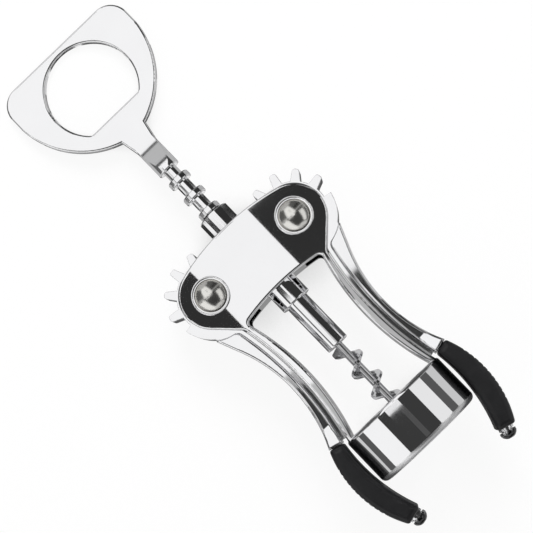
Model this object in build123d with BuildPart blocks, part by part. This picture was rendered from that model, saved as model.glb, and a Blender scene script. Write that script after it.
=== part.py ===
from build123d import *
import math
import os

# Lever corkscrew with two wing levers, in millimetres.
# The origin is the middle of the bell's mouth, +Z points up the spindle to the handle,
# +X to the right-hand lever, and the front of the tool faces -Y.

# Bell that sits on the bottle
bell_radius = 19.0
bell_height = 17.0
mouth_radius = 15.5
mouth_depth = 8.0
cork_hole_radius = 13.0
bell_lip_round = 2.0
lip_wall_share = 0.9
bell_top_round = 1.2
bell_inner_round = 0.6

# Head of the frame, with a lobe round each pivot
pivot_half_spacing = 17.7
pivot_height = 77.7
lobe_radius = 10.3
crown_lift = 2.2
arch_drop = 12.3
arch_radius = 82.0
slant_angle = 45.0
head_half_depth = 7.4
head_face_radius = 300.0
edge_round = 0.8

# Legs, bowed in at the waist
leg_waist_height = 41.5
leg_inner_waist = 12.3
leg_outer_waist = 15.2
leg_foot_step = 0.35
leg_end_wall = 1.95
leg_root_round = 3.0
leg_sink = 1.9
leg_foot_inset = 0.15
window_corner_round = 1.4

# Ring rack on the spindle
mesh_radius = 4.71
ring_count = 6
ring_thickness = 2.3
ring_round = 0.45
rack_radius = 3.85
rack_core_radius = 2.3
rack_tail = 3.35
rod_end_height = 40.3

# Guide bushes pressed into the head
bush_clearance = 0.05
upper_collar_wall = 1.45
upper_collar_length = 6.4
lower_collar_wall = 1.35
lower_collar_length = 6.7
collar_round = 0.4
spigot_wall = 1.0
spigot_length = 3.0
collar_sink = 0.2
press_gap = 0.02

# Worm, an auger on a long shank
shank_radius = 1.3
shank_clearance = 0.06
worm_radius = 3.85
worm_pitch = 8.5
worm_tip_height = 8.5
worm_point_length = 7.0
worm_point_radius = 0.25
blade_root_thickness = 3.0
blade_rim_thickness = 0.9

# Turning handle
handle_half_width = 25.0
handle_wide_rise = 25.6
handle_top_wall = 2.5
handle_corner_round = 7.0
handle_side_radius = 29.1
handle_thickness = 3.2
handle_edge_round = 0.7
hole_radius = 15.0
hole_rise = 19.5
hole_flat_drop = 11.0
hole_corner_round = 1.4
neck_half_width = 5.0
neck_length = 16.5
plate_foot_rise = 4.2
neck_radius = 3.85
scoop_tip = 0.7
scoop_sink = 0.2
plate_foot_inset = 0.9
neck_bottom_round = 0.4
neck_seat_gap = 0.1
pin_radius = 0.6
pin_rise = 4.7
pin_inset = 0.1
pin_chamfer = 0.15
shank_insert = 9.2
shank_top_gap = 0.5

# Wing levers
teeth_per_turn = 12
tooth_count = 7
gear_tip_gap = 0.6
gear_root_gap = 2.85
tooth_root_width = 3.1
tooth_tip_width = 2.1
tooth_tip_round = 0.85
hub_half_thickness = 4.1
hub_side_gap = 0.2
hub_edge_gap = 0.3
sector_radius = 13.4
sector_start_angle = -10.0
sector_end_angle = -85.0
arm_top_radius = 13.6
arm_top_angle = -48.0
arm_leg_gap = 0.4
arm_ledge = 1.2
web_trim = 0.6
arm_waist_height = 39.9
arm_waist_width = 2.65
arm_bow_inset = 3.1
arm_bow_drop = 7.6
arm_shoulder_outer = 18.9
arm_shoulder_inner = 17.6
arm_shoulder_width = 4.6
arm_half_depth = 5.7
arm_flare = 1.3
arm_flare_radius = 20.0
arm_flare_margin = 0.1
arm_corner_round = 2.5
arm_tip_round = 0.4
arm_edge_round = 0.8
lever_bore_clearance = 0.05

# Grip sleeves on the lever tangs
grip_half_depth = 7.3
grip_edge_round = 2.0
grip_corner_round = 1.0
grip_gap = 0.1
grip_wall = 1.5
grip_side_wall = 2.3
grip_swell = 2.85
grip_swell_height = 5.5
grip_bell_gap = 1.0
grip_bell_gap_height = 3.5
grip_end_shift = 0.05
grip_end_height = -12.7
grip_end_half_width = 3.05
rib_count = 11
rib_pitch = 1.9
rib_first = 8.0
rib_depth = 0.18
rib_radius = 0.65

# End caps that hold the grips
cap_tilt = 14.0
cap_radius = 2.65
cap_base_radius = 2.4
cap_tip_radius = 0.8
cap_nose_radius = 2.6
cap_length = 3.6
cap_shoulder = 2.0
cap_groove_top = 0.7
cap_groove_width = 0.5
cap_groove_depth = 0.5
cap_gap = 0.1
stud_radius = 1.2
stud_length = 2.4
stud_gap = 0.03

# Pivot rivets and their cup washers
rivet_radius = 3.0
dome_radius = 5.15
dome_height = 2.7
washer_sink = 1.0
washer_dome_gap = 0.35
washer_thickness = 0.6
washer_rim_height = 0.9
washer_rim_width = 0.5
washer_rim_round = 0.2
washer_seat_gap = 0.08
cap_stem_radius = 1.6
cap_stem_length = 5.0

os.makedirs("parts", exist_ok=True)


def bow_through(spread, drop):
    """Radius of an arc that spreads sideways over a drop from its waist."""
    return (spread**2 + drop**2) / (2 * spread)


def on_bow(waist, waist_height, bow_radius, height):
    """Point at a height on an arc that is narrowest at its waist."""
    reach = math.sqrt(bow_radius**2 - (height - waist_height) ** 2)
    return (waist + bow_radius - reach, height)


def round_pivot(radius, angle):
    """Point at a radius and an angle, in degrees, round the right-hand pivot."""
    turn = math.radians(angle)
    return (pivot_half_spacing + radius * math.cos(turn), pivot_height + radius * math.sin(turn))


def flip(point):
    """The same point on the left-hand side."""
    return (-point[0], point[1])


# Heights and radii that follow from the sizes above
crown_rise = lobe_radius + crown_lift
crown_height = pivot_height + crown_rise
arch_height = pivot_height - arch_drop
pivots = [(side * pivot_half_spacing, 0, pivot_height) for side in (-1, 1)]
lip_round = min(bell_lip_round, lip_wall_share * (bell_radius - mouth_radius))
washer_radius = dome_radius + washer_dome_gap + washer_rim_width
washer_seat_depth = head_half_depth - washer_sink

# Guide bushes round the rack
bush_bore_radius = rack_radius + bush_clearance
spigot_radius = bush_bore_radius + spigot_wall
upper_collar_radius = bush_bore_radius + upper_collar_wall
upper_collar_top = crown_height + upper_collar_length
lower_collar_radius = bush_bore_radius + lower_collar_wall
lower_collar_bottom = arch_height - lower_collar_length

# The gears mesh with the rings: one tooth passes for each ring
rack_pitch = 2 * math.pi * (pivot_half_spacing - mesh_radius) / teeth_per_turn
gear_tip_radius = pivot_half_spacing - rack_core_radius - gear_tip_gap
gear_root_radius = pivot_half_spacing - rack_radius - gear_root_gap
slot_radius = gear_tip_radius + hub_edge_gap
slot_half_width = hub_half_thickness + hub_side_gap
lever_bore_radius = rivet_radius + lever_bore_clearance

# The handle stands on the top of the rack
sleeve_top = pivot_height + (ring_count - 1) * rack_pitch + ring_thickness / 2 + rack_tail
neck_bottom = sleeve_top + neck_seat_gap
neck_top = neck_bottom + neck_length
plate_foot_height = neck_bottom + plate_foot_rise
pin_height = neck_bottom + pin_rise
shank_top = neck_bottom + shank_insert
hole_height = neck_top + hole_rise
hole_flat_height = hole_height - hole_flat_drop
handle_wide_height = neck_top + handle_wide_rise
handle_top = hole_height + hole_radius + handle_top_wall

# The legs spread from their waist to the round of the bell
leg_foot_height = bell_height - leg_sink
leg_foot_spread = bell_radius - leg_foot_step - leg_outer_waist
leg_outer_bow = bow_through(leg_foot_spread, leg_waist_height - leg_foot_height)


def leg_outer(height):
    """Point on the outer edge of the leg."""
    return on_bow(leg_outer_waist, leg_waist_height, leg_outer_bow, height)


def leg_inner_end(height):
    """Point on the inner edge of the leg, at one of its ends."""
    return (leg_outer(height)[0] - leg_end_wall, height)


# The crown of the head is one arc that runs into both lobes without a corner
crown_radius = (pivot_half_spacing**2 + crown_rise**2 - lobe_radius**2) / (2 * (crown_rise - lobe_radius))
crown_end_angle = math.degrees(math.atan2(crown_radius - crown_rise, pivot_half_spacing))
crown_end = round_pivot(lobe_radius, crown_end_angle)

# The slanted side of the head runs from the lobe to the outer edge of the leg
slant_start = round_pivot(lobe_radius, -slant_angle)
slant_direction = Vector(-math.sin(math.radians(slant_angle)), -math.cos(math.radians(slant_angle)))
leg_outer_centre = Vector(leg_outer_waist + leg_outer_bow, leg_waist_height)
from_centre = Vector(*slant_start) - leg_outer_centre
along = slant_direction.dot(from_centre)
slant_length = -along + math.sqrt(along**2 - from_centre.dot(from_centre) + leg_outer_bow**2)
slant_end_point = Vector(*slant_start) + slant_direction * slant_length
slant_end = (slant_end_point.X, slant_end_point.Y)

# Frame: head, legs and bell in one casting
with BuildPart() as frame:
    with BuildSketch(Plane.XZ) as outline:
        with BuildLine() as sides:
            ThreePointArc(crown_end, round_pivot(lobe_radius, 0), slant_start)
            Line(slant_start, slant_end)
            ThreePointArc(slant_end, leg_outer(leg_waist_height), leg_outer(leg_foot_height))
            mirror(sides.line, about=Plane.YZ)
        with BuildLine() as ends:
            ThreePointArc(flip(crown_end), (0, crown_height), crown_end)
            Line(flip(leg_outer(leg_foot_height)), leg_outer(leg_foot_height))
        make_face()
        fillet(outline.vertices().group_by(Axis.Y)[1], radius=leg_root_round)
    extrude(amount=2 * head_half_depth, both=True)

    # Front and back are slightly convex across the head
    with BuildSketch(Plane.XY) as plan:
        with Locations((0, head_face_radius - head_half_depth)):
            Circle(head_face_radius)
        with Locations((0, head_half_depth - head_face_radius)):
            Circle(head_face_radius, mode=Mode.INTERSECT)
    extrude(amount=2 * crown_height, mode=Mode.INTERSECT)

    # Window between the legs, with an arched top
    with BuildSketch(Plane.XZ) as window:
        with BuildLine():
            low = leg_inner_end(leg_foot_height - edge_round)
            waist = (leg_inner_waist, leg_waist_height)
            high = leg_inner_end(arch_height)
            ThreePointArc(low, waist, high)
            Line(high, flip(high))
            ThreePointArc(flip(high), flip(waist), flip(low))
            Line(flip(low), low)
        make_face()
        with Locations((0, arch_height - arch_radius)):
            Circle(arch_radius, mode=Mode.INTERSECT)
        fillet(window.vertices().group_by(Axis.Y)[-1], radius=window_corner_round)
    extrude(amount=2 * head_half_depth, both=True, mode=Mode.SUBTRACT)

    front_and_back = frame.faces().sort_by(Axis.Y)
    fillet(front_and_back[0].edges() + front_and_back[-1].edges(), radius=edge_round)

    # The feet of the legs stay inside the round of the bell
    with BuildSketch(Plane.XZ) as trim:
        with Locations((bell_radius - leg_foot_inset, 0)):
            Rectangle(bell_radius, leg_waist_height, align=(Align.MIN, Align.MIN))
    revolve(axis=Axis.Z, mode=Mode.SUBTRACT)

    # Bell with the bottle mouth and the cork hole
    with BuildSketch(Plane.XZ) as bell:
        with BuildLine():
            Polyline(
                (mouth_radius, 0),
                (bell_radius, 0),
                (bell_radius, bell_height),
                (cork_hole_radius, bell_height),
                (cork_hole_radius, mouth_depth),
                (mouth_radius, mouth_depth),
                close=True,
            )
        make_face()
        fillet(bell.vertices().sort_by_distance((bell_radius, 0))[0], radius=lip_round)
        fillet(bell.vertices().sort_by_distance((bell_radius, bell_height))[0], radius=bell_top_round)
        fillet(bell.vertices().sort_by_distance((cork_hole_radius, bell_height))[0], radius=bell_inner_round)
    revolve(axis=Axis.Z)

    # Slot for the two gears, which leaves a front and a back plate
    with Locations(*pivots):
        Cylinder(slot_radius, 2 * slot_half_width, rotation=(90, 0, 0), mode=Mode.SUBTRACT)

    # Passage for the rack, and the seats of the two bushes
    with Locations((0, 0, arch_height)):
        Cylinder(
            bush_bore_radius + press_gap,
            crown_height - arch_height,
            align=(Align.CENTER, Align.CENTER, Align.MIN),
            mode=Mode.SUBTRACT,
        )
    with Locations((0, 0, crown_height - collar_sink - spigot_length)):
        Cylinder(
            spigot_radius + press_gap,
            2 * spigot_length,
            align=(Align.CENTER, Align.CENTER, Align.MIN),
            mode=Mode.SUBTRACT,
        )
    with Locations((0, 0, crown_height - collar_sink)):
        Cylinder(
            upper_collar_radius + press_gap,
            spigot_length,
            align=(Align.CENTER, Align.CENTER, Align.MIN),
            mode=Mode.SUBTRACT,
        )
    with Locations((0, 0, arch_height + spigot_length)):
        Cylinder(
            spigot_radius + press_gap,
            2 * spigot_length,
            align=(Align.CENTER, Align.CENTER, Align.MAX),
            mode=Mode.SUBTRACT,
        )
    with Locations((0, 0, arch_height)):
        Cylinder(
            lower_collar_radius + press_gap,
            spigot_length,
            align=(Align.CENTER, Align.CENTER, Align.MAX),
            mode=Mode.SUBTRACT,
        )

    # Rivet holes, with a flat seat for each washer
    with Locations(*pivots):
        Cylinder(rivet_radius + press_gap, 4 * head_half_depth, rotation=(90, 0, 0), mode=Mode.SUBTRACT)
    seat_middle = washer_seat_depth + head_half_depth / 2
    with Locations(*[(x, side * seat_middle, z) for x, y, z in pivots for side in (-1, 1)]):
        Cylinder(washer_radius + washer_seat_gap, head_half_depth, rotation=(90, 0, 0), mode=Mode.SUBTRACT)
frame.part.label = "frame"
export_step(frame.part, "parts/frame.step")

# Guide bushes: a collar outside the head and a spigot pressed into it
with BuildPart() as upper_guide_bush:
    with BuildSketch(Plane.XZ) as bush:
        with BuildLine():
            Polyline(
                (bush_bore_radius, crown_height - collar_sink - spigot_length),
                (spigot_radius, crown_height - collar_sink - spigot_length),
                (spigot_radius, crown_height - collar_sink),
                (upper_collar_radius, crown_height - collar_sink),
                (upper_collar_radius, upper_collar_top),
                (bush_bore_radius, upper_collar_top),
                close=True,
            )
        make_face()
        collar_edge = bush.vertices().sort_by_distance((upper_collar_radius, upper_collar_top))[0]
        fillet(collar_edge, radius=collar_round)
    revolve(axis=Axis.Z)
upper_guide_bush.part.label = "upper_guide_bush"
export_step(upper_guide_bush.part, "parts/upper_guide_bush.step")

with BuildPart() as lower_guide_bush:
    with BuildSketch(Plane.XZ) as bush:
        with BuildLine():
            Polyline(
                (bush_bore_radius, lower_collar_bottom),
                (lower_collar_radius, lower_collar_bottom),
                (lower_collar_radius, arch_height),
                (spigot_radius, arch_height),
                (spigot_radius, arch_height + spigot_length),
                (bush_bore_radius, arch_height + spigot_length),
                close=True,
            )
        make_face()
        collar_edge = bush.vertices().sort_by_distance((lower_collar_radius, lower_collar_bottom))[0]
        fillet(collar_edge, radius=collar_round)
    revolve(axis=Axis.Z)
lower_guide_bush.part.label = "lower_guide_bush"
export_step(lower_guide_bush.part, "parts/lower_guide_bush.step")

# Rack: rings on a core, and a smooth rod below them
rod_top = pivot_height - rack_pitch + ring_thickness / 2
with BuildPart() as rack_sleeve:
    with BuildSketch(Plane.XZ) as rack:
        with Locations((0, rod_end_height)):
            Rectangle(rack_core_radius, sleeve_top - rod_end_height, align=(Align.MIN, Align.MIN))
            Rectangle(rack_radius, rod_top - rod_end_height, align=(Align.MIN, Align.MIN))
        with Locations(*[(0, pivot_height + k * rack_pitch) for k in range(ring_count)]):
            Rectangle(rack_radius, ring_thickness, align=(Align.MIN, Align.CENTER))
        fillet(rack.vertices().group_by(Axis.X)[-1], radius=ring_round)
    revolve(axis=Axis.Z)
    with Locations((0, 0, rod_end_height)):
        Cylinder(
            shank_radius + shank_clearance,
            sleeve_top - rod_end_height,
            align=(Align.CENTER, Align.CENTER, Align.MIN),
            mode=Mode.SUBTRACT,
        )
rack_sleeve.part.label = "rack_sleeve"
export_step(rack_sleeve.part, "parts/rack_sleeve.step")

# Worm: a right-handed auger blade on a core that runs up into the handle
worm_top = rod_end_height - neck_seat_gap - blade_root_thickness / 2
blade_height = worm_top - worm_tip_height
with BuildPart() as worm:
    with BuildLine(Plane.XY.offset(worm_tip_height)) as blade_path:
        Helix(worm_pitch, blade_height, worm_radius)
    with BuildSketch(Plane.XZ) as blade:
        with BuildLine():
            Polyline(
                (shank_radius / 2, worm_tip_height - blade_root_thickness / 2),
                (worm_radius, worm_tip_height - blade_rim_thickness / 2),
                (worm_radius, worm_tip_height + blade_rim_thickness / 2),
                (shank_radius / 2, worm_tip_height + blade_root_thickness / 2),
                close=True,
            )
        make_face()
    sweep(sections=blade.sketch, path=blade_path.line, is_frenet=True)
    with Locations((0, 0, worm_tip_height - blade_root_thickness / 2)):
        Cylinder(
            shank_radius,
            shank_top - worm_tip_height + blade_root_thickness / 2,
            align=(Align.CENTER, Align.CENTER, Align.MIN),
        )
    # The last turn runs out to a point
    with BuildSketch(Plane.XZ) as point:
        with BuildLine():
            Polyline(
                (worm_point_radius, worm_tip_height - blade_root_thickness),
                (2 * worm_radius, worm_tip_height - blade_root_thickness),
                (2 * worm_radius, worm_tip_height + worm_point_length),
                (worm_radius, worm_tip_height + worm_point_length),
                (worm_point_radius, worm_tip_height),
                close=True,
            )
        make_face()
    revolve(axis=Axis.Z, mode=Mode.SUBTRACT)
    with Locations((0, 0, worm_tip_height)):
        Cylinder(
            worm_radius,
            blade_root_thickness,
            align=(Align.CENTER, Align.CENTER, Align.MAX),
            mode=Mode.SUBTRACT,
        )
    # Hole for the cross pin
    with Locations((0, 0, pin_height)):
        Cylinder(pin_radius, 4 * neck_radius, rotation=(0, 90, 0), mode=Mode.SUBTRACT)
worm.part.label = "worm"
export_step(worm.part, "parts/worm.step")

# Neck of the handle: a round rod, scooped front and back down to the plate
plate_half = handle_thickness / 2
scoop_height = neck_length - scoop_tip
scoop_waist = plate_half - scoop_sink
scoop_depth = neck_radius - scoop_waist
scoop_radius = bow_through(scoop_depth, scoop_height)
scoop_foot = on_bow(scoop_waist, neck_top, scoop_radius, neck_bottom)
scoop_middle = on_bow(scoop_waist, neck_top, scoop_radius, neck_top - scoop_height / 2)
with BuildPart() as neck:
    with Locations((0, 0, neck_bottom)):
        Cylinder(neck_radius, neck_length, align=(Align.CENTER, Align.CENTER, Align.MIN))
    fillet(neck.edges().group_by(Axis.Z)[0], radius=neck_bottom_round)
    with BuildSketch(Plane.YZ):
        with BuildLine():
            ThreePointArc(scoop_foot, scoop_middle, (scoop_waist, neck_top))
            Line((scoop_waist, neck_top), (2 * neck_radius, neck_top))
            Line((2 * neck_radius, neck_top), (2 * neck_radius, neck_bottom))
            Line((2 * neck_radius, neck_bottom), scoop_foot)
        make_face()
        mirror(about=Plane.YZ)
    extrude(amount=2 * neck_radius, both=True, mode=Mode.SUBTRACT)

# Handle: a flat plate with a D-shaped cap-opener hole, on the neck
plate_foot_half = math.sqrt(neck_radius**2 - plate_half**2) - plate_foot_inset
with BuildSketch() as opener_hole:
    with Locations((0, hole_height)):
        Circle(hole_radius)
    with Locations((0, hole_flat_height)):
        Rectangle(2 * hole_radius, hole_radius, align=(Align.CENTER, Align.MAX), mode=Mode.SUBTRACT)
    fillet(opener_hole.vertices(), radius=hole_corner_round)
handle_side_top = (handle_half_width, handle_wide_height)
with BuildPart() as handle:
    with BuildSketch(Plane.XZ) as plate:
        with BuildLine() as plate_side:
            Line((plate_foot_half, plate_foot_height), (neck_half_width, neck_top))
            RadiusArc((neck_half_width, neck_top), handle_side_top, -handle_side_radius)
            Line(handle_side_top, (handle_half_width, handle_top))
            mirror(plate_side.line, about=Plane.YZ)
        with BuildLine():
            Line((-handle_half_width, handle_top), (handle_half_width, handle_top))
            Line((-plate_foot_half, plate_foot_height), (plate_foot_half, plate_foot_height))
        make_face()
        fillet(plate.vertices().group_by(Axis.Y)[-1], radius=handle_corner_round)
        add(opener_hole.sketch, mode=Mode.SUBTRACT)
    extrude(amount=plate_half, both=True)
    plate_faces = handle.faces().sort_by(Axis.Y)
    fillet(plate_faces[0].edges() + plate_faces[-1].edges(), radius=handle_edge_round)
    add(neck.part)
    with Locations((0, 0, neck_bottom)):
        Cylinder(
            shank_radius + press_gap,
            shank_top + shank_top_gap - neck_bottom,
            align=(Align.CENTER, Align.CENTER, Align.MIN),
            mode=Mode.SUBTRACT,
        )
    with Locations((0, 0, pin_height)):
        Cylinder(pin_radius + press_gap, 4 * neck_radius, rotation=(0, 90, 0), mode=Mode.SUBTRACT)
handle.part.label = "handle"
export_step(handle.part, "parts/handle.step")

# Cross pin that holds the shank in the neck
with BuildPart() as handle_pin:
    with Locations((0, 0, pin_height)):
        Cylinder(pin_radius, 2 * (neck_radius - pin_inset), rotation=(0, 90, 0))
    chamfer(handle_pin.edges().filter_by(GeomType.CIRCLE), length=pin_chamfer)
handle_pin.part.label = "handle_pin"
export_step(handle_pin.part, "parts/handle_pin.step")

# Outlines that the lever and its grip share
arm_top_point = round_pivot(arm_top_radius, arm_top_angle)
arm_bow_top = (arm_top_point[0] - arm_bow_inset, arm_top_point[1] - arm_bow_drop)
arm_end_half_depth = arm_half_depth + arm_flare
tang_half_depth = grip_half_depth - grip_side_wall


def arm_inner(offset, height):
    """Point on the inner edge of the arm, an offset away from the outer edge of the leg."""
    return on_bow(leg_outer_waist + offset, leg_waist_height, leg_outer_bow - offset, height)


# The outer edge bows from the arm's waist to the shoulder that carries the grip
shoulder_inner = arm_inner(arm_leg_gap + arm_ledge, arm_shoulder_inner)
shoulder_outer = (shoulder_inner[0] + arm_shoulder_width, arm_shoulder_outer)
arm_waist = (arm_inner(arm_leg_gap + arm_ledge, arm_waist_height)[0] + arm_waist_width, arm_waist_height)


def arm_face(offset, trim):
    """Flat outline of the arm, from the pivot to its shoulder, drawn in by a trim outside and below."""
    with BuildSketch() as band:
        with BuildLine():
            top_point = (arm_top_point[0] - trim, arm_top_point[1])
            bow_top = (arm_bow_top[0] - trim, arm_bow_top[1])
            bow_waist = (arm_waist[0] - trim, arm_waist[1])
            end_outer = (shoulder_outer[0] - trim, shoulder_outer[1] + trim)
            end_inner = arm_inner(offset, arm_shoulder_inner + trim)
            Polyline(round_pivot(0, 0), top_point, bow_top)
            ThreePointArc(bow_top, bow_waist, end_outer)
            Line(end_outer, end_inner)
            ThreePointArc(end_inner, arm_inner(offset, leg_waist_height), arm_inner(offset, arch_height))
            Line(arm_inner(offset, arch_height), round_pivot(0, 0))
        make_face()
    return band.sketch


# The end of the grip is square to the end cap's tilted axis
cap_axis = Vector(-math.sin(math.radians(cap_tilt)), 0, -math.cos(math.radians(cap_tilt)))
cap_side = Vector(math.cos(math.radians(cap_tilt)), 0, -math.sin(math.radians(cap_tilt)))
grip_end = Vector(bell_radius + grip_end_shift, 0, grip_end_height)
grip_outer_end = grip_end + cap_side * grip_end_half_width
grip_inner_end = grip_end - cap_side * grip_end_half_width
outer_belly = (shoulder_outer[0] + grip_swell, grip_swell_height)
inner_belly = (bell_radius + grip_bell_gap, grip_bell_gap_height)


def grip_face(inset, top_rise):
    """Flat outline of the grip, drawn in by an inset, with its top edge raised or lowered."""
    with BuildSketch() as sleeve:
        with BuildLine():
            outer_top = (shoulder_outer[0] - inset, shoulder_outer[1] + top_rise)
            inner_top = (shoulder_inner[0] + inset, shoulder_inner[1] + top_rise)
            outer_end = (grip_outer_end.X - inset, grip_outer_end.Z + inset)
            inner_end = (grip_inner_end.X + inset, grip_inner_end.Z + inset)
            ThreePointArc(outer_top, (outer_belly[0] - inset, outer_belly[1]), outer_end)
            ThreePointArc(inner_top, (inner_belly[0] + inset, inner_belly[1]), inner_end)
            Line(outer_end, inner_end)
            Line(inner_top, outer_top)
        make_face()
    return sleeve.sketch


# One gear tooth, drawn along +X from the hub
with BuildSketch() as tooth:
    with BuildLine():
        Polyline(
            (gear_root_radius - tooth_root_width / 2, -tooth_root_width / 2),
            (gear_root_radius, -tooth_root_width / 2),
            (gear_tip_radius, -tooth_tip_width / 2),
            (gear_tip_radius, tooth_tip_width / 2),
            (gear_root_radius, tooth_root_width / 2),
            (gear_root_radius - tooth_root_width / 2, tooth_root_width / 2),
            close=True,
        )
    make_face()
    fillet(tooth.vertices().group_by(Axis.X)[-1], radius=tooth_tip_round)

# Wing lever: a thick arm that flares at its shoulder, a thinner hub with teeth, and a tang inside the grip
tooth_spacing = 360 / teeth_per_turn
tooth_range = tooth_spacing * (tooth_count - 1)
flare_length = math.sqrt(2 * arm_flare_radius * arm_flare - arm_flare**2)
arm_flare_bottom = min(arm_shoulder_inner, arm_shoulder_outer) - arm_flare_margin
arm_flare_top = arm_flare_bottom + flare_length
arm_flare_end = (arm_end_half_depth, arm_flare_bottom)
with BuildPart() as lever_right:
    with BuildSketch(Plane.XZ) as arm:
        add(arm_face(arm_leg_gap + arm_ledge, 0))
        with Locations(round_pivot(0, 0)):
            Circle(arm_top_radius, mode=Mode.SUBTRACT)
        fillet(arm.vertices().sort_by(Axis.Y)[-2], radius=arm_corner_round)
        fillet(arm.vertices().sort_by(Axis.Y)[-1], radius=arm_tip_round)
    extrude(amount=2 * arm_end_half_depth, both=True)
    with BuildSketch(Plane.YZ):
        with BuildLine() as arm_flank:
            Line((arm_half_depth, pivot_height), (arm_half_depth, arm_flare_top))
            RadiusArc((arm_half_depth, arm_flare_top), arm_flare_end, -arm_flare_radius)
            mirror(arm_flank.line, about=Plane.YZ)
        with BuildLine():
            Line((-arm_half_depth, pivot_height), (arm_half_depth, pivot_height))
            Line(flip(arm_flare_end), arm_flare_end)
        make_face()
    extrude(amount=2 * bell_radius, both=True, mode=Mode.INTERSECT)
    arm_faces = lever_right.faces().sort_by(Axis.Y)
    fillet(arm_faces[0].edges() + arm_faces[-1].edges(), radius=arm_edge_round)

    with BuildSketch(Plane.XZ):
        add(arm_face(arm_leg_gap, web_trim))
        with BuildLine():
            Line(round_pivot(0, 0), round_pivot(sector_radius, sector_start_angle))
            ThreePointArc(
                round_pivot(sector_radius, sector_start_angle),
                round_pivot(sector_radius, (sector_start_angle + sector_end_angle) / 2),
                round_pivot(sector_radius, sector_end_angle),
            )
            Line(round_pivot(sector_radius, sector_end_angle), round_pivot(0, 0))
        make_face()
        with Locations(round_pivot(0, 0)):
            Circle(gear_root_radius)
            with PolarLocations(0, tooth_count, tooth_spacing / 2, tooth_range, endpoint=True):
                add(tooth.sketch)
    extrude(amount=hub_half_thickness, both=True)

    with BuildSketch(Plane.XZ):
        add(grip_face(grip_wall, arm_edge_round))
    extrude(amount=tang_half_depth, both=True)
    with BuildSketch(Plane(origin=grip_end - cap_axis * 2 * grip_wall, z_dir=cap_axis)):
        Circle(stud_radius)
    extrude(amount=2 * grip_wall + cap_gap + stud_length)
    with Locations((pivot_half_spacing, 0, pivot_height)):
        Cylinder(lever_bore_radius, 4 * hub_half_thickness, rotation=(90, 0, 0), mode=Mode.SUBTRACT)
lever_right.part.label = "lever_right"
export_step(lever_right.part, "parts/lever_right.step")

# Grip: a rubber sleeve over the tang, ribbed across its outer side
grip_side = grip_face(0, -grip_gap).edges().sort_by(Axis.X)[-1]
rib_steps = [rib_first + k * rib_pitch for k in range(rib_count)]
rib_points = [grip_side.position_at(step, position_mode=PositionMode.LENGTH) for step in rib_steps]
rib_places = [(point.X + rib_radius - rib_depth, 0, point.Y) for point in rib_points]
with BuildPart() as grip_right:
    with BuildSketch(Plane.XZ) as grip_outline:
        add(grip_face(0, -grip_gap))
        fillet(grip_outline.vertices(), radius=grip_corner_round)
    extrude(amount=grip_half_depth, both=True)
    grip_faces = grip_right.faces().sort_by(Axis.Y)
    fillet(grip_faces[0].edges() + grip_faces[-1].edges(), radius=grip_edge_round)
    with Locations(*rib_places):
        Cylinder(rib_radius, 4 * grip_half_depth, rotation=(90, 0, 0), mode=Mode.SUBTRACT)
    with BuildSketch(Plane.XZ):
        offset(grip_face(grip_wall, arm_edge_round), amount=grip_gap)
    extrude(amount=tang_half_depth + grip_gap, both=True, mode=Mode.SUBTRACT)
    with BuildSketch(Plane(origin=grip_end - cap_axis * 2 * grip_wall, z_dir=cap_axis)):
        Circle(stud_radius + grip_gap)
    extrude(amount=4 * grip_wall, mode=Mode.SUBTRACT)
grip_right.part.label = "grip_right"
export_step(grip_right.part, "parts/grip_right.step")

# End cap: an acorn-shaped knob with a groove, on the stud
cap_plane = Plane(origin=grip_end + cap_axis * cap_gap, x_dir=cap_side, z_dir=(0, 1, 0))
with BuildPart() as end_cap_right:
    with BuildSketch(cap_plane) as knob:
        with BuildLine():
            Polyline(
                (0, 0),
                (cap_base_radius, 0),
                (cap_base_radius, cap_groove_top),
                (cap_base_radius - cap_groove_depth, cap_groove_top),
                (cap_base_radius - cap_groove_depth, cap_groove_top + cap_groove_width),
                (cap_radius, cap_groove_top + cap_groove_width),
                (cap_radius, cap_shoulder),
            )
            RadiusArc((cap_radius, cap_shoulder), (cap_tip_radius, cap_length), -cap_nose_radius)
            Polyline((cap_tip_radius, cap_length), (0, cap_length), (0, 0))
        make_face()
    revolve(axis=Axis(cap_plane.origin, cap_axis))
    with BuildSketch(Plane(origin=cap_plane.origin, z_dir=cap_axis)):
        Circle(stud_radius + stud_gap)
    extrude(amount=stud_length + stud_gap, mode=Mode.SUBTRACT)
end_cap_right.part.label = "end_cap_right"
export_step(end_cap_right.part, "parts/end_cap_right.step")

# Pivot rivet: a domed front head on a shank that is hollow at the back
dome_seat = washer_seat_depth + washer_thickness
rivet_plane = Plane(origin=(pivot_half_spacing, 0, pivot_height), x_dir=(1, 0, 0), z_dir=(0, 0, 1))
rivet_axis = Axis((pivot_half_spacing, 0, pivot_height), (0, 1, 0))
dome_sphere = (dome_radius**2 + dome_height**2) / (2 * dome_height)
with BuildPart() as pivot_rivet_right:
    with BuildSketch(rivet_plane):
        with BuildLine():
            Line((0, -dome_seat - dome_height), (0, dome_seat))
            Polyline(
                (0, dome_seat),
                (rivet_radius, dome_seat),
                (rivet_radius, -dome_seat),
                (dome_radius, -dome_seat),
            )
            RadiusArc((dome_radius, -dome_seat), (0, -dome_seat - dome_height), dome_sphere)
        make_face()
    revolve(axis=rivet_axis)
    with BuildSketch(Plane(origin=(pivot_half_spacing, dome_seat, pivot_height), z_dir=(0, -1, 0))):
        Circle(cap_stem_radius + press_gap)
    extrude(amount=cap_stem_length + press_gap, mode=Mode.SUBTRACT)
pivot_rivet_right.part.label = "pivot_rivet_right"
export_step(pivot_rivet_right.part, "parts/pivot_rivet_right.step")

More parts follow.
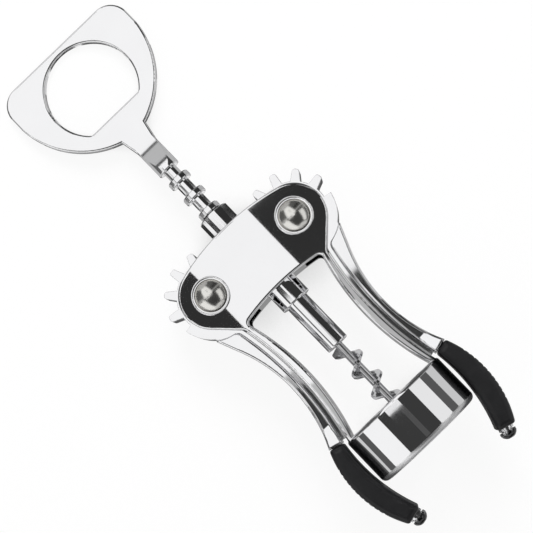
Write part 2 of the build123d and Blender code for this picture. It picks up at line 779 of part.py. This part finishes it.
# Rear cap: the same dome, on a stem pressed into the rivet
with BuildPart() as rivet_cap_right:
    with BuildSketch(rivet_plane):
        with BuildLine():
            Line((0, dome_seat + dome_height), (0, dome_seat - cap_stem_length))
            Polyline(
                (0, dome_seat - cap_stem_length),
                (cap_stem_radius, dome_seat - cap_stem_length),
                (cap_stem_radius, dome_seat),
                (dome_radius, dome_seat),
            )
            RadiusArc((dome_radius, dome_seat), (0, dome_seat + dome_height), -dome_sphere)
        make_face()
    revolve(axis=rivet_axis)
rivet_cap_right.part.label = "rivet_cap_right"
export_step(rivet_cap_right.part, "parts/rivet_cap_right.step")

# Cup washers: a flat ring with a raised rim round the dome
with BuildPart() as rivet_washer_front_right:
    with BuildSketch(rivet_plane) as washer:
        with BuildLine():
            Polyline(
                (rivet_radius + press_gap, -washer_seat_depth),
                (washer_radius, -washer_seat_depth),
                (washer_radius, -dome_seat - washer_rim_height),
                (washer_radius - washer_rim_width, -dome_seat - washer_rim_height),
                (washer_radius - washer_rim_width, -dome_seat),
                (rivet_radius + press_gap, -dome_seat),
                close=True,
            )
        make_face()
        fillet(washer.vertices().group_by(Axis.Y)[0], radius=washer_rim_round)
    revolve(axis=rivet_axis)
rivet_washer_front_right.part.label = "rivet_washer_front_right"
export_step(rivet_washer_front_right.part, "parts/rivet_washer_front_right.step")

with BuildPart() as rivet_washer_rear_right:
    mirror(rivet_washer_front_right.part, about=Plane.XZ)
rivet_washer_rear_right.part.label = "rivet_washer_rear_right"
export_step(rivet_washer_rear_right.part, "parts/rivet_washer_rear_right.step")

# The left-hand pieces mirror the right-hand ones
right_hand_pieces = {
    "lever": lever_right,
    "grip": grip_right,
    "end_cap": end_cap_right,
    "pivot_rivet": pivot_rivet_right,
    "rivet_cap": rivet_cap_right,
    "rivet_washer_front": rivet_washer_front_right,
    "rivet_washer_rear": rivet_washer_rear_right,
}
for piece_name, right_hand in right_hand_pieces.items():
    with BuildPart() as left_hand:
        mirror(right_hand.part, about=Plane.YZ)
    left_hand.part.label = piece_name + "_left"
    export_step(left_hand.part, "parts/" + piece_name + "_left.step")
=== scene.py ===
import math
import bpy
from mathutils import Matrix, Vector


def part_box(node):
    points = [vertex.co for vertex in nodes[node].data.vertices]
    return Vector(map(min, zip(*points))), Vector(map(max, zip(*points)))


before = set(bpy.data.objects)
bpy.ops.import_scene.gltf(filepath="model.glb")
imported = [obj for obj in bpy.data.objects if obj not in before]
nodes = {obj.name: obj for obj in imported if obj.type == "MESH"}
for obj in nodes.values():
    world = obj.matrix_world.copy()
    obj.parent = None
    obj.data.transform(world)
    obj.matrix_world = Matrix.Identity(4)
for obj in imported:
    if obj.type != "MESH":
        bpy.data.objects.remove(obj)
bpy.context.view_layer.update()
scene = bpy.context.scene

# View: the camera looks down on the tool, which lies on its back with the handle end a little lower
IMAGE_SIZE = 533
PIXEL_LENGTH = 0.31e-3
VIEW_WIDTH = PIXEL_LENGTH * IMAGE_SIZE
CAMERA_DISTANCE = 0.460
SENSOR_WIDTH = 36.0
CLIP_START = 0.01
CLIP_END = 100.0
TARGET = Vector((0.00078, 0.0, 0.0731))
TILT = math.radians(7.2)
FORWARD = Vector((0.0, math.cos(TILT), math.sin(TILT)))
SIDE = Vector((1.0, 0.0, 0.0))
UPRIGHT = Vector((0.0, -math.sin(TILT), math.cos(TILT)))

# The tool is turned by about 44 degrees in the picture
ROLL_COS = 0.7193
ROLL_SIN = 0.6947

# Plating: clouds in the colour, haze in the polish, and faint waves
CLOUD_SCALE = 90.0
CLOUD_DETAIL = 3.0
HAZE_SCALE = 420.0
HAZE_DETAIL = 4.0
WAVE_SCALE = 160.0
WAVE_DETAIL = 2.0
WAVE_DEPTH = 0.00002
WAVE_STRENGTH = 0.07
COLD_TINGE = 0.01

# The levers' cast edges are rubbed round by this radius
EDGE_ROUND = 0.00025
EDGE_SAMPLES = 6

# The bell's rim starts to turn satin at its top height, and is all satin below the full one
RIM_TOP = 0.002
RIM_FULL = 0.8 * RIM_TOP
RIM_SATIN = 0.4

# The end caps' colour is painted dark at the tip and bright at the collar, changing between two
# heights: a painted dark reflection below and a painted highlight above
CAP_PAINTED_DARK_TOP = -0.0146
CAP_PAINTED_HIGHLIGHT_FOOT = -0.0136
# Colour of the painted dark reflection on the tips
CAP_PAINTED_DARK = (0.07, 0.07, 0.072)
CAP_SMOOTH = 0.06
CAP_WORN = 0.12
CAP_WAVE_STRENGTH = 0.2

# Rivets: warmer and duller than the plating round them
NICKEL_DARK = (0.74, 0.73, 0.7)
NICKEL_LIGHT = (0.8, 0.79, 0.76)

# Grip rubber: a cloudy black with a fine moulded grain
RUBBER_DARK = (0.006, 0.006, 0.007)
RUBBER_LIGHT = (0.014, 0.014, 0.015)
RUBBER_SMOOTH = 0.32
RUBBER_ROUGH = 0.46
RUBBER_SPECULAR = 0.35
RUBBER_CLOUD_SCALE = 260.0
RUBBER_CLOUD_DETAIL = 5.0
GRAIN_SCALE = 2600.0
GRAIN_DETAIL = 2.0
GRAIN_DEPTH = 0.00008
GRAIN_STRENGTH = 0.35

# Strength of the world where it is light on the tool and not a background
WORLD_LIGHT = 0.6

# Floor: a white table that mostly glows, with a shade where the tool comes close
FLOOR_HALF = 1.5
FLOOR_GAP = 0.0005
FLOOR_GREY = 0.94
FLOOR_ROUGHNESS = 0.9
FLOOR_GLOW = 0.9
CONTACT_REACH = 0.02
CONTACT_SAMPLES = 16
CONTACT_RANGE = (0.1, 0.5)
CONTACT_SHADE = 0.5

# The bell is at its widest between these heights, and rests on the floor there
BELL_BAND = (0.0, 0.017)

# Cards: patches of a large sphere, with the nearer layers a step inside the farther ones
CARD_RADIUS = 40.0
CARD_STEPS = 24
LAYER_STEP = 0.5

# Key lamp: one soft disc in front of the tool, on its right-hand side
LAMP_SIZE = 1.1
LAMP_POWER = 30.0
LAMP_PLACE = Vector((0.85, -1.4, 1.15))

UNIT = (0.0, 1.0)


def opaque(level):
    """A neutral grey as a socket colour."""
    return level, level, level, 1.0


def steel(level):
    """A grey with a slight cold tinge."""
    return level, level, level + COLD_TINGE


def make_material(name):
    """A new node material: returns it, its node tree and its Principled shader."""
    material = bpy.data.materials.new(name)
    material.use_nodes = True
    tree = material.node_tree
    return material, tree, tree.nodes["Principled BSDF"]


def object_noise(tree, scale, detail):
    """Noise in the object's own coordinates."""
    place = tree.nodes.new("ShaderNodeTexCoord")
    noise = tree.nodes.new("ShaderNodeTexNoise")
    noise.inputs["Scale"].default_value = scale
    noise.inputs["Detail"].default_value = detail
    tree.links.new(place.outputs["Object"], noise.inputs["Vector"])
    return noise.outputs["Fac"]


def remap(tree, source, old, new):
    """Maps a value from one range to another."""
    node = tree.nodes.new("ShaderNodeMapRange")
    node.inputs["From Min"].default_value = old[0]
    node.inputs["From Max"].default_value = old[1]
    node.inputs["To Min"].default_value = new[0]
    node.inputs["To Max"].default_value = new[1]
    tree.links.new(source, node.inputs["Value"])
    return node.outputs["Result"]


def height_ramp(tree, start, end):
    """0 at one height of the object and 1 at another."""
    place = tree.nodes.new("ShaderNodeTexCoord")
    split = tree.nodes.new("ShaderNodeSeparateXYZ")
    tree.links.new(place.outputs["Object"], split.inputs["Vector"])
    return remap(tree, split.outputs["Z"], (start, end), UNIT)


def tint(tree, source, dark, light):
    """Colours between two shades."""
    ramp = tree.nodes.new("ShaderNodeValToRGB")
    ramp.color_ramp.elements[0].color = (*dark, 1.0)
    ramp.color_ramp.elements[1].color = (*light, 1.0)
    tree.links.new(source, ramp.inputs["Fac"])
    return ramp.outputs["Color"]


def add_bump(tree, shader, source, distance, strength, edge=0.0):
    """Bumps the surface, over edges that are softened by a small radius where one is given."""
    bump = tree.nodes.new("ShaderNodeBump")
    bump.inputs["Distance"].default_value = distance
    bump.inputs["Strength"].default_value = strength
    tree.links.new(source, bump.inputs["Height"])
    tree.links.new(bump.outputs["Normal"], shader.inputs["Normal"])
    if edge > 0.0:
        bevel = tree.nodes.new("ShaderNodeBevel")
        bevel.samples = EDGE_SAMPLES
        bevel.inputs["Radius"].default_value = edge
        tree.links.new(bevel.outputs["Normal"], bump.inputs["Normal"])


def add_waves(tree, shader, strength, edge=0.0):
    """Faint waves, as polishing leaves them."""
    waves = object_noise(tree, WAVE_SCALE, WAVE_DETAIL)
    add_bump(tree, shader, waves, WAVE_DEPTH, strength, edge)


def polish(tree, smooth, worn):
    """Roughness that varies a little over a polished surface."""
    haze = object_noise(tree, HAZE_SCALE, HAZE_DETAIL)
    return remap(tree, haze, UNIT, (smooth, worn))


def satin_rim(tree, roughness):
    """Roughness that turns satin at the rim, which rubs on bottles."""
    blend = tree.nodes.new("ShaderNodeMix")
    blend.inputs["B"].default_value = RIM_SATIN
    tree.links.new(height_ramp(tree, RIM_TOP, RIM_FULL), blend.inputs["Factor"])
    tree.links.new(roughness, blend.inputs["A"])
    return blend.outputs["Result"]


def plated_metal(name, dark, light, smooth, worn, edge=0.0, rim=False):
    """Bright plating: slightly clouded colour, polish that varies a little, and faint waves."""
    material, tree, shader = make_material(name)
    shader.inputs["Metallic"].default_value = 1.0
    clouds = object_noise(tree, CLOUD_SCALE, CLOUD_DETAIL)
    tree.links.new(tint(tree, clouds, dark, light), shader.inputs["Base Color"])
    roughness = polish(tree, smooth, worn)
    if rim:
        roughness = satin_rim(tree, roughness)
    tree.links.new(roughness, shader.inputs["Roughness"])
    add_waves(tree, shader, WAVE_STRENGTH, edge)
    return material


def painted_reflection_cap(name, black, bright):
    """Plated metal with painted colour: a bright collar as a painted highlight above a dark tip as
    a painted reflection.
    """
    material, tree, shader = make_material(name)
    shader.inputs["Metallic"].default_value = 1.0
    # Painted reflection and highlight: dark at the tip, bright at the collar
    rise = height_ramp(tree, CAP_PAINTED_DARK_TOP, CAP_PAINTED_HIGHLIGHT_FOOT)
    tree.links.new(tint(tree, rise, black, bright), shader.inputs["Base Color"])
    tree.links.new(polish(tree, CAP_SMOOTH, CAP_WORN), shader.inputs["Roughness"])
    add_waves(tree, shader, CAP_WAVE_STRENGTH)
    return material


def grip_rubber(name):
    """Matt black rubber with a fine moulded grain."""
    material, tree, shader = make_material(name)
    shader.inputs["Specular IOR Level"].default_value = RUBBER_SPECULAR
    cloud = object_noise(tree, RUBBER_CLOUD_SCALE, RUBBER_CLOUD_DETAIL)
    roughness = remap(tree, cloud, UNIT, (RUBBER_SMOOTH, RUBBER_ROUGH))
    tree.links.new(tint(tree, cloud, RUBBER_DARK, RUBBER_LIGHT), shader.inputs["Base Color"])
    tree.links.new(roughness, shader.inputs["Roughness"])
    grain = object_noise(tree, GRAIN_SCALE, GRAIN_DETAIL)
    add_bump(tree, shader, grain, GRAIN_DEPTH, GRAIN_STRENGTH)
    return material


# Finishes: name, darkest and lightest shade, least and most roughness
chrome = plated_metal("chrome", steel(0.86), steel(0.9), 0.015, 0.03)
frame_chrome = plated_metal("frame_chrome", steel(0.86), steel(0.9), 0.015, 0.03, rim=True)
lever_chrome = plated_metal("lever_chrome", steel(0.86), steel(0.9), 0.02, 0.04, edge=EDGE_ROUND)
handle_chrome = plated_metal("handle_chrome", steel(0.87), steel(0.91), 0.05, 0.08)
spindle_chrome = plated_metal("spindle_chrome", steel(0.84), steel(0.9), 0.03, 0.05)
worm_steel = plated_metal("worm_steel", steel(0.5), steel(0.6), 0.05, 0.09)
# End caps: plated metal with a painted dark reflection on the tip and a painted highlight on the
# collar
cap_chrome = painted_reflection_cap("cap_chrome", CAP_PAINTED_DARK, steel(0.8))
rivet_nickel = plated_metal("rivet_nickel", NICKEL_DARK, NICKEL_LIGHT, 0.17, 0.23)
rubber = grip_rubber("grip_rubber")

finishes = {
    "frame": frame_chrome,
    "upper_guide_bush": spindle_chrome,
    "lower_guide_bush": spindle_chrome,
    "rack_sleeve": spindle_chrome,
    "worm": worm_steel,
    "handle": handle_chrome,
    "handle_pin": worm_steel,
}
for hand in ("left", "right"):
    finishes["lever_" + hand] = lever_chrome
    finishes["grip_" + hand] = rubber
    # The end caps carry the painted reflection and highlight
    finishes["end_cap_" + hand] = cap_chrome
    finishes["pivot_rivet_" + hand] = rivet_nickel
    finishes["rivet_cap_" + hand] = rivet_nickel
    finishes["rivet_washer_front_" + hand] = chrome
    finishes["rivet_washer_rear_" + hand] = chrome
for name, piece in nodes.items():
    piece.data.materials.clear()
    piece.data.materials.append(finishes[name])

# Camera
right = SIDE * ROLL_COS - UPRIGHT * ROLL_SIN
up = SIDE * ROLL_SIN + UPRIGHT * ROLL_COS
camera_data = bpy.data.cameras.new("camera")
camera_data.sensor_width = SENSOR_WIDTH
camera_data.lens = SENSOR_WIDTH * CAMERA_DISTANCE / VIEW_WIDTH
camera_data.clip_start = CLIP_START
camera_data.clip_end = CLIP_END
camera = bpy.data.objects.new("camera", camera_data)
scene.collection.objects.link(camera)
axes = Matrix((right, up, -FORWARD)).transposed().to_4x4()
camera.matrix_world = Matrix.Translation(TARGET - FORWARD * CAMERA_DISTANCE) @ axes
scene.camera = camera

# World: white where the camera or a reflection looks at it, softer as light
world = bpy.data.worlds.new("studio")
scene.world = world
world.use_nodes = True
world_tree = world.node_tree
background = world_tree.nodes["Background"]
background.inputs["Color"].default_value = opaque(1.0)
ray = world_tree.nodes.new("ShaderNodeLightPath")
seen = world_tree.nodes.new("ShaderNodeMath")
seen.operation = "MAXIMUM"
world_tree.links.new(ray.outputs["Is Camera Ray"], seen.inputs[0])
world_tree.links.new(ray.outputs["Is Glossy Ray"], seen.inputs[1])
strength = remap(world_tree, seen.outputs["Value"], UNIT, (WORLD_LIGHT, 1.0))
world_tree.links.new(strength, background.inputs["Strength"])


def emission(tree, level):
    """A grey that glows."""
    node = tree.nodes.new("ShaderNodeEmission")
    node.inputs["Color"].default_value = opaque(level)
    return node


def mix_shaders(tree, first, second):
    """A mix of two shaders, with its factor still to be set."""
    node = tree.nodes.new("ShaderNodeMixShader")
    tree.links.new(first, node.inputs[1])
    tree.links.new(second, node.inputs[2])
    return node


def floor_paint(name):
    """White that mostly glows, shaded where something is close, and clear when seen from below."""
    material, tree, shader = make_material(name)
    shader.inputs["Base Color"].default_value = opaque(FLOOR_GREY)
    shader.inputs["Roughness"].default_value = FLOOR_ROUGHNESS
    nearness = tree.nodes.new("ShaderNodeAmbientOcclusion")
    nearness.samples = CONTACT_SAMPLES
    nearness.inputs["Distance"].default_value = CONTACT_REACH
    contact = remap(tree, nearness.outputs["AO"], CONTACT_RANGE, (CONTACT_SHADE, 1.0))
    glow = emission(tree, 1.0)
    tree.links.new(contact, glow.inputs["Strength"])
    paint = mix_shaders(tree, shader.outputs["BSDF"], glow.outputs["Emission"])
    paint.inputs["Fac"].default_value = FLOOR_GLOW
    clear = tree.nodes.new("ShaderNodeBsdfTransparent")
    facing = tree.nodes.new("ShaderNodeNewGeometry")
    one_sided = mix_shaders(tree, paint.outputs["Shader"], clear.outputs["BSDF"])
    tree.links.new(facing.outputs["Backfacing"], one_sided.inputs["Fac"])
    surface = tree.nodes["Material Output"].inputs["Surface"]
    tree.links.new(one_sided.outputs["Shader"], surface)
    return material


# Floor: the table under the tool, which touches the bell and the handle's end
corners = [(-FLOOR_HALF, -FLOOR_HALF, 0), (FLOOR_HALF, -FLOOR_HALF, 0)]
corners += [(FLOOR_HALF, FLOOR_HALF, 0), (-FLOOR_HALF, FLOOR_HALF, 0)]
floor_mesh = bpy.data.meshes.new("floor")
floor_mesh.from_pydata(corners, [], [(0, 1, 2, 3)])
floor_mesh.materials.append(floor_paint("floor"))
floor = bpy.data.objects.new("floor", floor_mesh)
scene.collection.objects.link(floor)
bell_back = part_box("frame")[1].y
touch = max((Vector((0.0, bell_back, z)) - TARGET).dot(FORWARD) for z in BELL_BAND)
floor_axes = Matrix((SIDE, UPRIGHT, -FORWARD)).transposed().to_4x4()
floor.matrix_world = Matrix.Translation(TARGET + FORWARD * (touch + FLOOR_GAP)) @ floor_axes
floor.visible_glossy = False


def card(name, azimuths, elevations, grey, layer):
    """A glowing patch that only reflections see; a higher layer hangs in front of a lower one.

    Azimuth runs from the front towards the right-hand lever, elevation towards the handle.
    """
    reach = CARD_RADIUS - LAYER_STEP * layer
    row = CARD_STEPS + 1
    points = []
    faces = []
    for i in range(row):
        az = math.radians(azimuths[0] + (azimuths[1] - azimuths[0]) * i / CARD_STEPS)
        for j in range(row):
            el = math.radians(elevations[0] + (elevations[1] - elevations[0]) * j / CARD_STEPS)
            flat = reach * math.cos(el)
            points.append((flat * math.sin(az), -flat * math.cos(az), reach * math.sin(el)))
    for i in range(CARD_STEPS):
        for j in range(CARD_STEPS):
            a = i * row + j
            faces.append((a, a + 1, a + row + 1, a + row))
    material, tree, shader = make_material(name)
    tree.nodes.remove(shader)
    surface = tree.nodes["Material Output"].inputs["Surface"]
    tree.links.new(emission(tree, grey).outputs["Emission"], surface)
    mesh = bpy.data.meshes.new(name)
    mesh.from_pydata(points, [], faces)
    mesh.materials.append(material)
    patch = bpy.data.objects.new(name, mesh)
    scene.collection.objects.link(patch)
    patch.visible_camera = False
    patch.visible_diffuse = False
    patch.visible_shadow = False
    patch.visible_transmission = False


# Angles at which several cards begin or end
ALL_ROUND = (-180, 180)
BACK = (152, 196)
BACK_MIDDLE = (175, 185)
CEILING = 66
HANDLE_BAND = (14.2, 22)
ROD_TOP = 13.8
HEAD_TOP = 9.45
HEAD_MIDDLE = 5.9
RING_SPLIT = 2.7
GROUND = -60

# A dark room, with a pale ceiling and back
card("room", ALL_ROUND, (-90, 90), 0.10, 0)
card("ceiling", ALL_ROUND, (CEILING, 90), 0.5, 1)
card("back_low", BACK, (GROUND, -9.5), 0.85, 0.5)
card("back_grey", BACK, (-9.5, 12), 0.28, 0.5)
card("back_high", BACK, (12, CEILING), 0.85, 0.5)
card("back_dark_low", BACK_MIDDLE, (-24, -13), 0.03, 4)
card("back_dark_high", BACK_MIDDLE, (12.5, 21), 0.03, 4)

# Upper ring, which the handle, head and spindle reflect
card("front_white", (-36, 24), (RING_SPLIT, CEILING), 1.0, 1)
card("tongue_lines", (-3, 3), (29.4, 44), 0.05, 2)
card("tongue_grey", (-3, 3), (31, 42), 0.5, 3)
card("left_white", (-100, -48), (RING_SPLIT, 9.3), 1.0, 1)
card("right_dark", (7, 75), (RING_SPLIT, HEAD_TOP), 0.035, 2)
card("right_dark_high", (26, 83), (HEAD_TOP, 40), 0.035, 2)
card("right_grey", (75, 125), (RING_SPLIT, HEAD_TOP), 0.5, 1)
card("head_right_dark", (4.3, 20), (HEAD_MIDDLE, HEAD_TOP), 0.03, 3)
card("head_left_dark", (-40, -8.8), (HEAD_MIDDLE, HEAD_TOP), 0.03, 3)
card("left_upper_light", (-180, -112), HANDLE_BAND, 0.85, 3)
card("right_upper_light", (112, 180), HANDLE_BAND, 0.85, 3)
card("left_upper_mid", (-112, -36), HANDLE_BAND, 0.35, 3)
card("right_upper_mid", (24, 112), HANDLE_BAND, 0.35, 3)

# Bands which the spindle reflects above the head: the rod, then its collars and two rings
card("rod_left_white", (-65, -40), (HEAD_TOP, ROD_TOP), 0.9, 1)
card("rod_left_grey", (-180, -104), (HEAD_TOP, ROD_TOP), 0.5, 1)
card("rod_right_grey", (83, 150), (HEAD_TOP, ROD_TOP), 0.5, 1)
for number, band in enumerate(((HEAD_TOP, 10.3), (10.7, 11.1), (11.5, 11.95))):
    card("ring_left_%d" % number, (-180, -36), band, 0.03, 4)
    card("ring_streak_%d" % number, (-104, -70), band, 1.0, 5)
    card("ring_right_%d" % number, (22, 150), band, 0.03, 4)

# Lower ring, which the bell, the legs, the arms and the rod reflect
card("front_dark", (-42, 38), (GROUND, RING_SPLIT), 0.045, 1)
card("right_arm_dark", (1.5, 3.5), (2.6, 4.8), 0.04, 2)
card("left_arm_dark", (-3.5, -1.5), (2.6, 3.05), 0.04, 2)
card("left_arm_dim", (-3.5, -1.5), (3.05, 3.7), 0.4, 2)
card("left_leg_grey", (-40, -5), (0.3, 2.8), 0.5, 3)
card("right_leg_grey", (5, 12), (0.3, 5.8), 0.5, 3)
card("bell_window", (-24, 8), (-0.2, 0.3), 0.9, 3)
card("left_low_white", (-86, -42), (GROUND, RING_SPLIT), 1.0, 2)
card("left_low_grey", (-150, -103), (GROUND, RING_SPLIT), 0.65, 2)
card("right_low_white", (37, 68), (-55, RING_SPLIT), 0.88, 2)
card("right_low_grey", (88, 165), (GROUND, RING_SPLIT), 0.62, 2)
card("bell_brown", (-1, 9), (-3, -0.2), 0.085, 2)
card("low_light", (-100, 100), (-80, GROUND), 0.7, 2)

# Key lamp
lamp_data = bpy.data.lights.new("key", "AREA")
lamp_data.shape = "DISK"
lamp_data.size = LAMP_SIZE
lamp_data.energy = LAMP_POWER
lamp = bpy.data.objects.new("key", lamp_data)
scene.collection.objects.link(lamp)
lamp.location = LAMP_PLACE
lamp.rotation_mode = "QUATERNION"
lamp.rotation_quaternion = (TARGET - LAMP_PLACE).to_track_quat("-Z", "Y")
lamp.visible_glossy = False

scene.view_settings.view_transform = "Standard"
